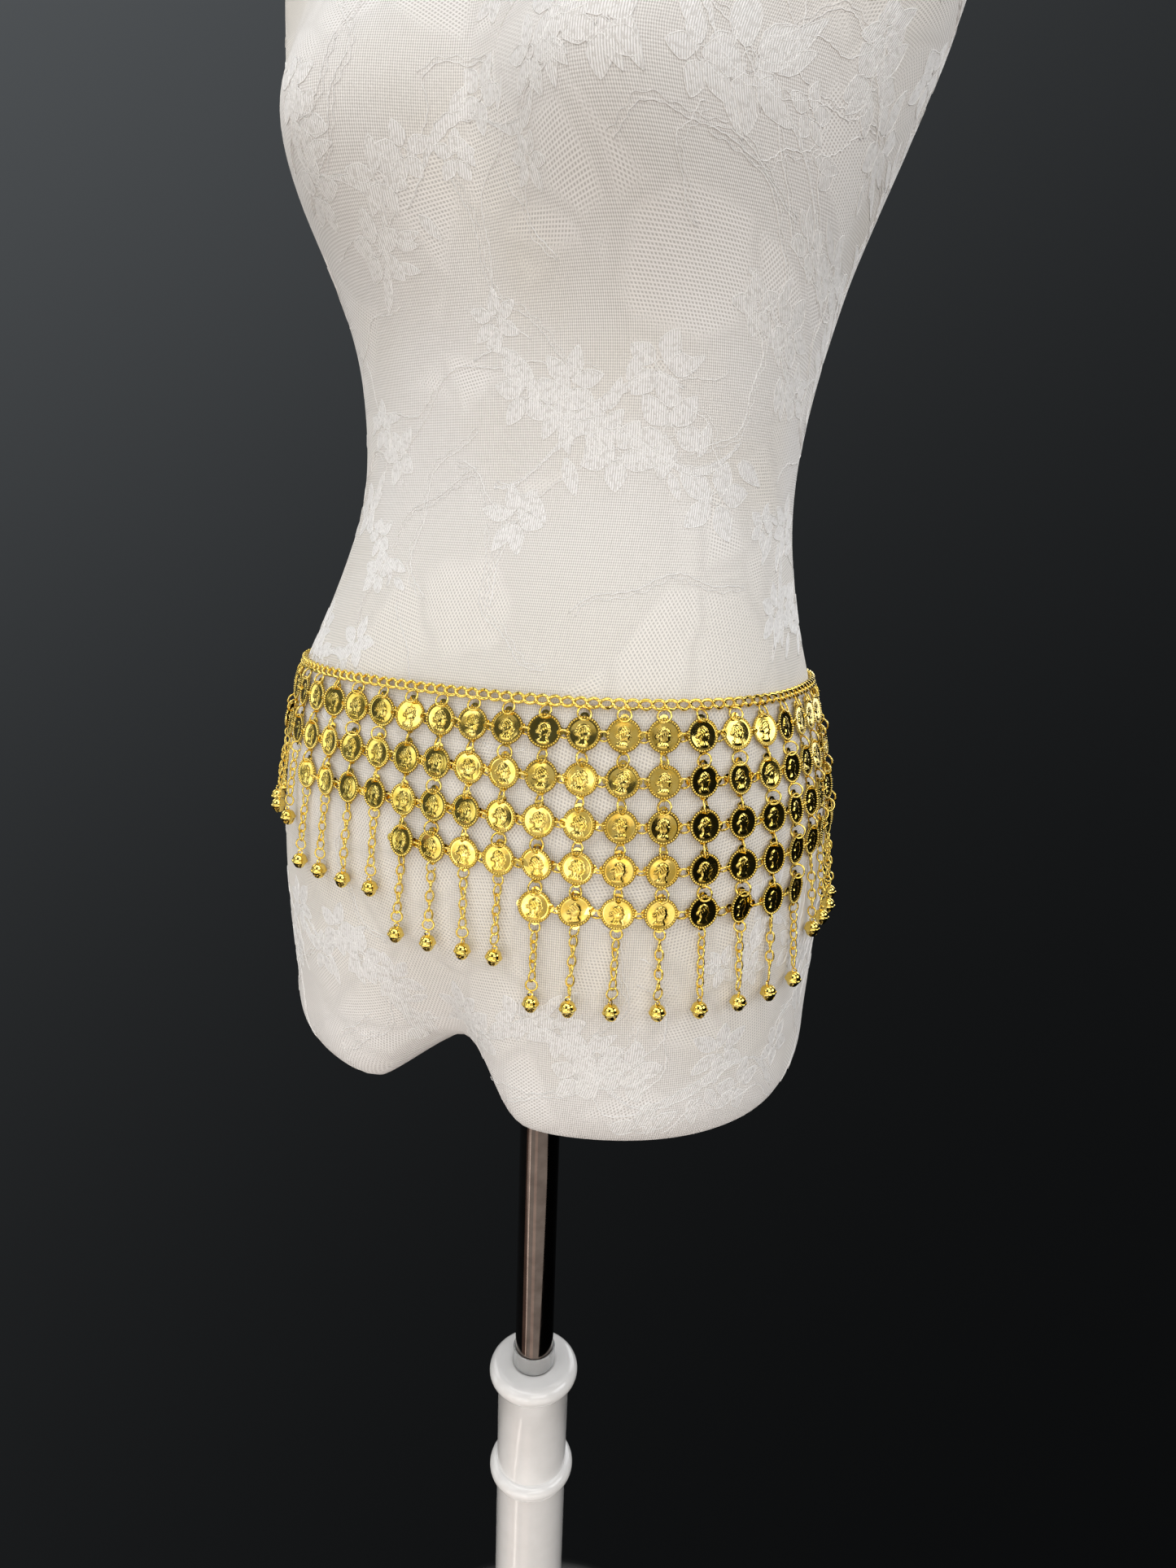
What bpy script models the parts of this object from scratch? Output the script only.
"""Coin waist chain on a limbless dress form.

The form faces -Y, its left side is +X and it stands on z = 0. Heights of the form and of the
chain's pieces are given from the level of the waist chain, which lies CHAIN_LEVEL above the floor.
"""

import math
from collections import namedtuple

import bmesh
import bpy
from mathutils import Vector

# Sizes in metres.
SEAM_GAP = 0.0003

# Places along the waist chain are lengths from the form's front centre towards its left side.
CHAIN_LEVEL = 0.960
CHAIN_HALF_HEIGHT = 0.0031
CHAIN_THICKNESS = 0.0022
CHAIN_JOINT_THICKNESS = 0.0015
LINKS_PER_COLUMN = 3
CLASP_PLACE = 0.575
HOOK_LENGTH = 0.0130
HOOK_HALF_HEIGHT = 0.0032
CLASP_RING_LENGTH = 0.0070
CLASP_THICKNESS = 0.0030

COLUMN_PITCH = 0.0184
FIRST_DEEP_COLUMN = 0.0593
ROW_PITCH = 0.0215
FIRST_ROW_DROP = 0.0142
DEEPEST_ROWS = 5
SHALLOWEST_ROWS = 2
DEEPEST_COLUMNS = 8
STEP_COLUMNS = 4

COIN_RADIUS = 0.0087
COIN_THICKNESS = 0.0018
NECK_HALF_WIDTH = 0.0012
LOBE_HALF_HEIGHT = 0.0018
LOBE_REACH = 0.0089
CLEAR_OF_FORM = 0.0016

BELL_DROP = 0.0509
BELL_RADIUS = 0.0043
BELL_HALF_HEIGHT = 0.0041
BELL_SIDES = 6
DROP_RING = 0.0062
DROP_LINK = 0.0054
DROP_LINK_COUNT = 5
RING_HALF_WIDTH = 0.0034
LINK_HALF_WIDTH = 0.0023
JOINT_HALF_WIDTH = 0.0009

FORM_SIDES = 32
FORM_ROWS = 34
ARCH_HALF_WIDTH = 0.062
ARCH_RISE = 0.030
CLEFT_WIDTH = 0.030
BUST_HEIGHT = 0.272
BUST_SPREAD = 0.078
BUST_DEPTH = 0.046
BUST_RADIUS = 0.060

POLE_RADIUS = 0.0135
POLE_IN_FORM = 0.120
POLE_IN_POST = 0.060
COLLAR_WALL = 0.0010
COLLAR_HEIGHT = 0.012
POST_RADIUS = 0.025
TOP_RING_DROP = 0.510
TOP_RING_RADIUS = 0.0244
TOP_RING_TUBE = 0.0071
SECOND_RING_DROP = 0.593
SECOND_RING_TUBE = 0.0064
FOOT_RADIUS = 0.040
BASE_RADIUS = 0.150
BASE_HEIGHT = 0.022
BASE_ROUND = 0.006
TURNED_STEPS = 24
NECK_CAP_HEIGHT = 0.014
NECK_CAP_OVERHANG = 0.002

# One row for each level of the dress form, bottom to top. Height is from the waist chain, cleft is
# how far the front and back sink in on the middle line as a share of the depth.
Level = namedtuple("Level", "height half_width half_depth centre_y squareness cleft")
FORM_LEVELS = [
    Level(-0.238, 0.140, 0.104, 0.002, 2.3, 0.46),
    Level(-0.232, 0.152, 0.116, 0.002, 2.3, 0.42),
    Level(-0.219, 0.160, 0.124, 0.002, 2.3, 0.34),
    Level(-0.195, 0.1645, 0.129, 0.003, 2.3, 0.20),
    Level(-0.160, 0.166, 0.132, 0.004, 2.35, 0.07),
    Level(-0.130, 0.1675, 0.133, 0.005, 2.4, 0.0),
    Level(-0.095, 0.167, 0.133, 0.005, 2.4, 0.0),
    Level(-0.060, 0.1640, 0.131, 0.005, 2.4, 0.0),
    Level(-0.030, 0.1580, 0.127, 0.005, 2.4, 0.0),
    Level(0.000, 0.1500, 0.121, 0.005, 2.4, 0.0),
    Level(0.030, 0.1412, 0.113, 0.010, 2.35, 0.0),
    Level(0.060, 0.1346, 0.106, 0.016, 2.3, 0.0),
    Level(0.085, 0.1310, 0.102, 0.021, 2.25, 0.0),
    Level(0.110, 0.1300, 0.101, 0.025, 2.25, 0.0),
    Level(0.140, 0.1322, 0.102, 0.028, 2.25, 0.0),
    Level(0.175, 0.1382, 0.105, 0.031, 2.25, 0.0),
    Level(0.215, 0.1485, 0.111, 0.032, 2.25, 0.0),
    Level(0.250, 0.1610, 0.115, 0.032, 2.3, 0.0),
    Level(0.285, 0.1750, 0.117, 0.032, 2.3, 0.0),
    Level(0.320, 0.1880, 0.115, 0.033, 2.3, 0.0),
    Level(0.355, 0.1980, 0.110, 0.035, 2.2, 0.0),
    Level(0.390, 0.2040, 0.103, 0.036, 2.1, 0.0),
    Level(0.425, 0.2040, 0.094, 0.037, 2.0, 0.0),
    Level(0.452, 0.1910, 0.083, 0.039, 2.0, 0.0),
    Level(0.472, 0.1640, 0.072, 0.040, 2.0, 0.0),
    Level(0.488, 0.1240, 0.064, 0.040, 2.0, 0.0),
    Level(0.501, 0.0870, 0.058, 0.038, 2.0, 0.0),
    Level(0.514, 0.0660, 0.055, 0.035, 2.0, 0.0),
    Level(0.545, 0.0560, 0.053, 0.028, 2.0, 0.0),
]

Finish = namedtuple("Finish", "colour roughness metallic")
GOLD = Finish((0.80, 0.57, 0.16), 0.18, 1.0)
LACE = Finish((0.80, 0.78, 0.75), 0.85, 0.0)
CHROME = Finish((0.20, 0.19, 0.19), 0.08, 1.0)
CLEAR = Finish((0.85, 0.86, 0.86), 0.20, 0.0)
WHITE_GLOSS = Finish((0.86, 0.85, 0.84), 0.25, 0.0)


def clear_scene():
    """Remove every object that is in the file."""
    for item in list(bpy.data.objects):
        bpy.data.objects.remove(item, do_unlink=True)


def new_collection(name):
    """Make a collection and link it to the scene."""
    collection = bpy.data.collections.new(name)
    bpy.context.scene.collection.children.link(collection)
    return collection


def new_material(name, finish):
    """Make a Principled material from a finish."""
    material = bpy.data.materials.new(name)
    material.use_nodes = True
    shader = material.node_tree.nodes["Principled BSDF"]
    shader.inputs["Base Color"].default_value = (*finish.colour, 1.0)
    shader.inputs["Roughness"].default_value = finish.roughness
    shader.inputs["Metallic"].default_value = finish.metallic
    return material


def new_object(name, mesh, material, collection):
    """Link a mesh as a named object with one material."""
    item = bpy.data.objects.new(name, mesh)
    collection.objects.link(item)
    if material is not None:
        mesh.materials.append(material)
    return item


def loft(name, rings, material, collection):
    """Bridge rings of points, all of one length, and cap both ends."""
    shape = bmesh.new()
    rows = [[shape.verts.new(point) for point in ring] for ring in rings]
    count = len(rows[0])
    for low, high in zip(rows, rows[1:]):
        for k in range(count):
            n = (k + 1) % count
            shape.faces.new((low[k], low[n], high[n], high[k]))
    shape.faces.new(rows[0])
    shape.faces.new(rows[-1])
    bmesh.ops.recalc_face_normals(shape, faces=shape.faces)
    mesh = bpy.data.meshes.new(name)
    shape.to_mesh(mesh)
    shape.free()
    return new_object(name, mesh, material, collection)


def turned(name, profile, material, collection, steps=TURNED_STEPS):
    """Turn a profile of (radius, height) points about the Z axis with a Screw modifier."""
    mesh = bpy.data.meshes.new(name)
    edges = [(k, k + 1) for k in range(len(profile) - 1)]
    mesh.from_pydata([(radius, 0.0, height) for radius, height in profile], edges, [])
    item = new_object(name, mesh, material, collection)
    screw = item.modifiers.new("Turn", "SCREW")
    screw.steps = steps
    screw.render_steps = steps
    screw.use_merge_vertices = True
    screw.merge_threshold = 0.00005
    return item


def cut(item, cutter, operation="DIFFERENCE"):
    """Add an exact Boolean to an object and hide its cutter."""
    boolean = item.modifiers.new(cutter.name, "BOOLEAN")
    boolean.object = cutter
    boolean.operation = operation
    boolean.solver = "EXACT"
    cutter.hide_render = True
    cutter.display_type = "WIRE"


def between(height, field):
    """Read one field of the form's levels at a height, along a smooth curve."""
    rows = FORM_LEVELS
    height = min(max(height, rows[0].height), rows[-1].height)
    k = max(i for i in range(len(rows) - 1) if rows[i].height <= height)
    here, after = rows[k], rows[k + 1]
    before = rows[max(k - 1, 0)]
    beyond = rows[min(k + 2, len(rows) - 1)]
    value = [getattr(row, field) for row in (before, here, after, beyond)]
    span = after.height - here.height
    share = (height - here.height) / span
    slope_here = (value[2] - value[0]) / (after.height - before.height) * span
    slope_after = (value[3] - value[1]) / (beyond.height - here.height) * span
    square, cube = share ** 2, share ** 3
    return (
        (2 * cube - 3 * square + 1) * value[1]
        + (cube - 2 * square + share) * slope_here
        + (3 * square - 2 * cube) * value[2]
        + (cube - square) * slope_after
    )


def form_point(turn, height):
    """Point on the form's surface; turn is 0 at the front centre and a quarter turn at +X."""
    power = 2.0 / between(height, "squareness")
    side, front = math.sin(turn), math.cos(turn)
    x = between(height, "half_width") * math.copysign(abs(side) ** power, side)
    depth = between(height, "half_depth") * math.copysign(abs(front) ** power, front)
    depth *= 1.0 - between(height, "cleft") * math.exp(-((x / CLEFT_WIDTH) ** 2))
    if front > 0.0:
        across = (abs(x) - BUST_SPREAD) / BUST_RADIUS
        along = (height - BUST_HEIGHT) / BUST_RADIUS
        depth += BUST_DEPTH * math.exp(-(across ** 2) - along ** 2)
    return Vector((x, between(height, "centre_y") - depth, CHAIN_LEVEL + height))


class WaistLine:
    """The line round the form at the level of the waist chain."""

    SAMPLES = 1440

    def __init__(self):
        turns = [math.tau * k / self.SAMPLES for k in range(self.SAMPLES + 1)]
        self.points = [form_point(turn, 0.0) for turn in turns]
        self.lengths = [0.0]
        for before, after in zip(self.points, self.points[1:]):
            self.lengths.append(self.lengths[-1] + (after - before).length)
        self.length = self.lengths[-1]

    def at(self, place):
        """Point on the line at a length from the front centre."""
        place %= self.length
        low, high = 0, self.SAMPLES
        while high - low > 1:
            middle = (low + high) // 2
            if self.lengths[middle] <= place:
                low = middle
            else:
                high = middle
        share = (place - self.lengths[low]) / (self.lengths[high] - self.lengths[low])
        return self.points[low].lerp(self.points[high], share)

    def along(self, place):
        """Level direction of the line at a place."""
        step = 0.002
        direction = self.at(place + step) - self.at(place - step)
        direction.z = 0.0
        return direction.normalized()

    def outward(self, place):
        """Level direction away from the form at a place."""
        direction = self.along(place)
        return Vector((direction.y, -direction.x, 0.0))


class HangLine:
    """Where one column hangs: over the hip as a taut string, then straight down."""

    STEP = 0.003
    LOWEST = -0.200

    def __init__(self, line, place):
        self.start = line.at(place)
        self.along = line.along(place)
        self.outward = line.outward(place)
        self.reach = [0.0]
        height = 0.0
        while height > self.LOWEST:
            height -= self.STEP
            furthest = max(
                (form_point(math.tau * k / 180, height) - self.start).dot(self.outward)
                for k in range(180)
            )
            self.reach.append(max(self.reach[-1], furthest))

    def distance(self, height):
        """How far out of the waist line the form's surface stands at a height."""
        step = max(-height, 0.0) / self.STEP
        k = min(int(step), len(self.reach) - 2)
        return self.reach[k] + (self.reach[k + 1] - self.reach[k]) * (step - k)

    def point(self, across, height, out):
        """Point at a distance across the column, at a height, and out from the surface."""
        return (
            self.start
            + self.along * across
            + self.outward * (self.distance(height) + out)
            + Vector((0.0, 0.0, height))
        )


def column_rows():
    """Number of coins in each column, by its number from the first deep column."""
    rows = {}
    for steps in range(DEEPEST_ROWS - SHALLOWEST_ROWS, -1, -1):
        for k in range(-STEP_COLUMNS * steps, DEEPEST_COLUMNS + STEP_COLUMNS * steps):
            rows[k] = DEEPEST_ROWS - steps
    return rows


def column_place(number):
    """Place of a column along the waist line."""
    return FIRST_DEEP_COLUMN + number * COLUMN_PITCH


def station_centre(hang, row):
    """Middle of the back of a coin and its connector plate."""
    return hang.point(0.0, -FIRST_ROW_DROP - row * ROW_PITCH, CLEAR_OF_FORM)


def lobe_tip(hang, other, row, other_rows, sign):
    """Tip of a side lobe, which meets the neighbour's lobe halfway."""
    centre = station_centre(hang, row)
    if other is None or row >= other_rows:
        return centre + hang.along * (sign * LOBE_REACH)
    toward = (station_centre(other, row) - centre) / 2.0
    return centre + toward * (1.0 - SEAM_GAP / 2.0 / toward.length)


def rung(back_left, back_right, outward, thickness):
    """Four corners of a cross section between two back points."""
    front = outward * thickness
    return [back_left, back_right, back_right + front, back_left + front]


def plain_rung(hang, height, half_width, out, thickness):
    """Cross section of one width, across the column."""
    return rung(
        hang.point(-half_width, height, out),
        hang.point(half_width, height, out),
        hang.outward,
        thickness,
    )


def station_rungs(hang, before, after, row, rows_before, rows_after):
    """Cross sections down one coin with its connector plate's side lobes."""
    middle = -FIRST_ROW_DROP - row * ROW_PITCH
    bevel = COIN_RADIUS * math.sin(math.radians(45.0))
    neck = math.sqrt(COIN_RADIUS ** 2 - NECK_HALF_WIDTH ** 2)
    tips = [
        lobe_tip(hang, before, row, rows_before, -1),
        lobe_tip(hang, after, row, rows_after, 1),
    ]
    rungs = []
    for offset, half_width in ((neck, NECK_HALF_WIDTH), (bevel, bevel)):
        rungs.append(plain_rung(hang, middle + offset, half_width, CLEAR_OF_FORM, COIN_THICKNESS))
    for offset in (LOBE_HALF_HEIGHT, -LOBE_HALF_HEIGHT):
        lift = Vector((0.0, 0.0, offset))
        rungs.append(rung(tips[0] + lift, tips[1] + lift, hang.outward, COIN_THICKNESS))
    for offset, half_width in ((-bevel, bevel), (-neck, NECK_HALF_WIDTH)):
        rungs.append(plain_rung(hang, middle + offset, half_width, CLEAR_OF_FORM, COIN_THICKNESS))
    return rungs


def drop_rungs(hang, coin_height):
    """Cross sections down a drop: a ring, the links and a ring."""
    pieces = [(DROP_RING, RING_HALF_WIDTH)]
    pieces += [(DROP_LINK, LINK_HALF_WIDTH)] * DROP_LINK_COUNT
    pieces += [(DROP_RING, RING_HALF_WIDTH)]
    full = sum(length for length, _ in pieces)
    top = coin_height - COIN_RADIUS + SEAM_GAP
    bell_out = BELL_RADIUS + SEAM_GAP - COIN_THICKNESS / 2.0
    rungs = []
    gone = 0.0
    for length, half_width in pieces:
        for share, width in ((0.5, half_width), (1.0, JOINT_HALF_WIDTH)):
            down = gone + length * share
            out = CLEAR_OF_FORM + (bell_out - CLEAR_OF_FORM) * down / full
            rungs.append(plain_rung(hang, top - down, width, out, COIN_THICKNESS))
        gone += length
    return rungs


def bell_mesh(name, centre, collection):
    """Jingle bell: a small turned body, widest at its seam."""
    shape = bmesh.new()
    bmesh.ops.create_uvsphere(shape, u_segments=BELL_SIDES, v_segments=4, radius=BELL_RADIUS)
    bmesh.ops.scale(shape, vec=(1.0, 1.0, BELL_HALF_HEIGHT / BELL_RADIUS), verts=shape.verts)
    bmesh.ops.translate(shape, vec=centre, verts=shape.verts)
    mesh = bpy.data.meshes.new(name)
    shape.to_mesh(mesh)
    shape.free()
    return new_object(name, mesh, None, collection)


def build_columns(line, material, collection, cutters):
    """Every column of coins with its drop and bell, each one solid."""
    rows = column_rows()
    hangs = {number: HangLine(line, column_place(number)) for number in rows}
    for order, number in enumerate(sorted(rows)):
        hang = hangs[number]
        before, after = hangs.get(number - 1), hangs.get(number + 1)
        counts = rows.get(number - 1, 0), rows.get(number + 1, 0)
        under_chain = -CHAIN_HALF_HEIGHT - SEAM_GAP
        rungs = [plain_rung(hang, under_chain, NECK_HALF_WIDTH, CLEAR_OF_FORM, COIN_THICKNESS)]
        for row in range(rows[number]):
            rungs += station_rungs(hang, before, after, row, *counts)
        last = -FIRST_ROW_DROP - (rows[number] - 1) * ROW_PITCH
        rungs += drop_rungs(hang, last)
        column = loft(f"coin_column_{order + 1:02d}", rungs, material, collection)
        centre = hang.point(0.0, last - BELL_DROP, BELL_RADIUS + SEAM_GAP)
        cut(column, bell_mesh(f"bell_shape_{order + 1:02d}", centre, cutters), "UNION")


def chain_rung(line, place, half_height, out, thickness):
    """Cross section of the waist chain, lying against the form's slope."""
    middle = line.at(place)
    outward = line.outward(place)
    span = CHAIN_HALF_HEIGHT
    turn_reach = [
        max(
            (form_point(math.tau * k / 180, height) - middle).dot(outward)
            for k in range(180)
        )
        for height in (-span, span)
    ]
    slope = (turn_reach[1] - turn_reach[0]) / (2.0 * span)
    corners = []
    for height, depth in (
        (-half_height, 0.0), (half_height, 0.0), (half_height, thickness), (-half_height, thickness)
    ):
        reach = (turn_reach[0] + turn_reach[1]) / 2.0 + slope * height + out + depth
        corners.append(middle + outward * reach + Vector((0.0, 0.0, height)))
    return corners


def build_chain(line, material, collection):
    """The curb chain, from one side of the clasp round to the other."""
    link = COLUMN_PITCH / LINKS_PER_COLUMN
    start = CLASP_PLACE + HOOK_LENGTH + SEAM_GAP
    end = CLASP_PLACE - CLASP_RING_LENGTH - SEAM_GAP + line.length
    count = round((end - start) / link)
    rungs = []
    for k in range(count + 1):
        thickness = CHAIN_THICKNESS if k % 2 else CHAIN_JOINT_THICKNESS
        place = start + (end - start) * k / count
        rungs.append(chain_rung(line, place, CHAIN_HALF_HEIGHT, SEAM_GAP, thickness))
    loft("waist_chain", rungs, material, collection)


def build_clasp(line, material, collection):
    """The lobster hook and the ring that it closes on."""
    hook = []
    for share, height in ((0.0, 0.35), (0.2, 0.8), (0.5, 1.0), (0.8, 0.85), (1.0, 0.4)):
        place = CLASP_PLACE + HOOK_LENGTH * share
        hook.append(
            chain_rung(line, place, HOOK_HALF_HEIGHT * height, SEAM_GAP, CLASP_THICKNESS)
        )
    loft("clasp_hook", hook, material, collection)
    ring = []
    for share, height in ((0.0, 0.5), (0.25, 1.0), (0.75, 1.0), (1.0, 0.5)):
        place = CLASP_PLACE - SEAM_GAP - CLASP_RING_LENGTH * (1.0 - share)
        ring.append(
            chain_rung(line, place, HOOK_HALF_HEIGHT * height, SEAM_GAP, CHAIN_THICKNESS)
        )
    loft("clasp_ring", ring, material, collection)


def arch_cutter(collection):
    """Prism under the crotch, with a bell-shaped top between the thigh stubs."""
    floor = CHAIN_LEVEL + FORM_LEVELS[0].height
    depth = 0.200
    outline = []
    steps = 20
    for k in range(steps + 1):
        across = -1.0 + 2.0 * k / steps
        rise = ARCH_RISE * (0.5 + 0.5 * math.cos(math.pi * across)) - 0.0005
        outline.append((across * ARCH_HALF_WIDTH, floor + rise))
    outline.append((ARCH_HALF_WIDTH, floor - 0.030))
    outline.append((-ARCH_HALF_WIDTH, floor - 0.030))
    rings = [[Vector((x, y, z)) for x, z in outline] for y in (-depth, depth)]
    return loft("arch_shape", rings, None, collection)


def bore_cutter(collection):
    """Cylinder for the pole's socket in the form."""
    top = CHAIN_LEVEL - POLE_IN_FORM + SEAM_GAP
    bottom = CHAIN_LEVEL + FORM_LEVELS[0].height - 0.050
    shape = bmesh.new()
    bmesh.ops.create_cone(
        shape,
        cap_ends=True,
        segments=TURNED_STEPS,
        radius1=POLE_RADIUS + SEAM_GAP,
        radius2=POLE_RADIUS + SEAM_GAP,
        depth=top - bottom,
    )
    bmesh.ops.translate(shape, vec=(0.0, 0.0, (top + bottom) / 2.0), verts=shape.verts)
    mesh = bpy.data.meshes.new("bore_shape")
    shape.to_mesh(mesh)
    shape.free()
    return new_object("bore_shape", mesh, None, collection)


def form_heights():
    """Heights of the form's rows: even steps, and each level of its rounded ends."""
    low, high = FORM_LEVELS[0].height, FORM_LEVELS[-1].height
    even = [low + (high - low) * k / FORM_ROWS for k in range(FORM_ROWS + 1)]
    ends = [row.height for row in FORM_LEVELS if row.height < -0.210 or row.height > 0.450]
    heights = set(ends)
    for height in even:
        if all(abs(height - other) > 0.006 for other in ends):
            heights.add(height)
    return sorted(heights)


def build_form(material, collection, cutters):
    """The dress form: torso, neck and two thigh stubs."""
    rings = [
        [form_point(math.tau * k / FORM_SIDES, height) for k in range(FORM_SIDES)]
        for height in form_heights()
    ]
    form = loft("dress_form", rings, material, collection)
    cut(form, arch_cutter(cutters))
    cut(form, bore_cutter(cutters))
    form.data.shade_smooth()


def ring_profile(radius, tube, height, from_radius):
    """Outer half of a turned ring, top to bottom, where it stands out of from_radius."""
    start = math.acos(max(-1.0, min(1.0, (from_radius - radius) / tube)))
    steps = 6
    return [
        (
            radius + tube * math.cos(start - 2.0 * start * k / steps),
            height + tube * math.sin(start - 2.0 * start * k / steps),
        )
        for k in range(steps + 1)
    ]


def build_stand(metal, clear, white, collection):
    """Pole, collar, turned post and round base."""
    ring_height = CHAIN_LEVEL - TOP_RING_DROP
    post_top = ring_height + TOP_RING_TUBE
    bore_radius = POLE_RADIUS + SEAM_GAP
    bore_floor = post_top - POLE_IN_POST
    second = CHAIN_LEVEL - SECOND_RING_DROP
    post_bottom = BASE_HEIGHT + SEAM_GAP
    profile = [(0.0, bore_floor), (bore_radius, bore_floor), (bore_radius, post_top)]
    profile += [
        (TOP_RING_RADIUS + TOP_RING_TUBE * math.sin(turn), ring_height + TOP_RING_TUBE * math.cos(turn))
        for turn in (math.radians(22.5 * k) for k in range(8))
    ]
    profile += [(POST_RADIUS, ring_height - TOP_RING_TUBE * 0.98)]
    profile += ring_profile(TOP_RING_RADIUS - 0.0005, SECOND_RING_TUBE, second, POST_RADIUS)
    profile += [(POST_RADIUS, post_bottom + 0.030), (FOOT_RADIUS, post_bottom + 0.012)]
    profile += [(FOOT_RADIUS, post_bottom), (0.0, post_bottom)]
    turned("turned_post", profile, white, collection)

    pole_top = CHAIN_LEVEL - POLE_IN_FORM
    pole_bottom = bore_floor + SEAM_GAP
    pole = [(0.0, pole_top), (POLE_RADIUS, pole_top), (POLE_RADIUS, pole_bottom), (0.0, pole_bottom)]
    turned("pole", pole, metal, collection)

    collar_low = post_top + SEAM_GAP
    collar_high = collar_low + COLLAR_HEIGHT
    collar_radius = bore_radius + COLLAR_WALL
    collar = [
        (bore_radius, collar_low),
        (bore_radius, collar_high),
        (collar_radius, collar_high),
        (collar_radius, collar_low),
        (bore_radius, collar_low),
    ]
    turned("pole_collar", collar, clear, collection)

    base = [
        (0.0, BASE_HEIGHT),
        (BASE_RADIUS - BASE_ROUND, BASE_HEIGHT),
        (BASE_RADIUS - BASE_ROUND * 0.3, BASE_HEIGHT - BASE_ROUND * 0.3),
        (BASE_RADIUS, BASE_HEIGHT - BASE_ROUND),
        (BASE_RADIUS, 0.0),
        (0.0, 0.0),
    ]
    turned("base", base, white, collection)


def build_neck_cap(white, collection):
    """Plain cap on the neck."""
    top = FORM_LEVELS[-1]
    low = CHAIN_LEVEL + top.height + SEAM_GAP
    radius = top.half_width + NECK_CAP_OVERHANG
    profile = [
        (0.0, low + NECK_CAP_HEIGHT),
        (radius * 0.75, low + NECK_CAP_HEIGHT * 0.9),
        (radius * 0.95, low + NECK_CAP_HEIGHT * 0.55),
        (radius, low),
        (0.0, low),
    ]
    cap = turned("neck_cap", profile, white, collection)
    cap.location.y = top.centre_y


def main():
    """Build the whole part."""
    clear_scene()
    parts = new_collection("coin_waist_chain_on_form")
    cutters = new_collection("cutters")
    gold = new_material("polished_gold", GOLD)
    lace = new_material("lace_cover", LACE)
    metal = new_material("dark_chrome", CHROME)
    clear = new_material("clear_collar", CLEAR)
    white = new_material("white_gloss", WHITE_GLOSS)
    line = WaistLine()
    build_columns(line, gold, parts, cutters)
    build_chain(line, gold, parts)
    build_clasp(line, gold, parts)
    build_form(lace, parts, cutters)
    build_neck_cap(white, parts)
    build_stand(metal, clear, white, parts)


main()
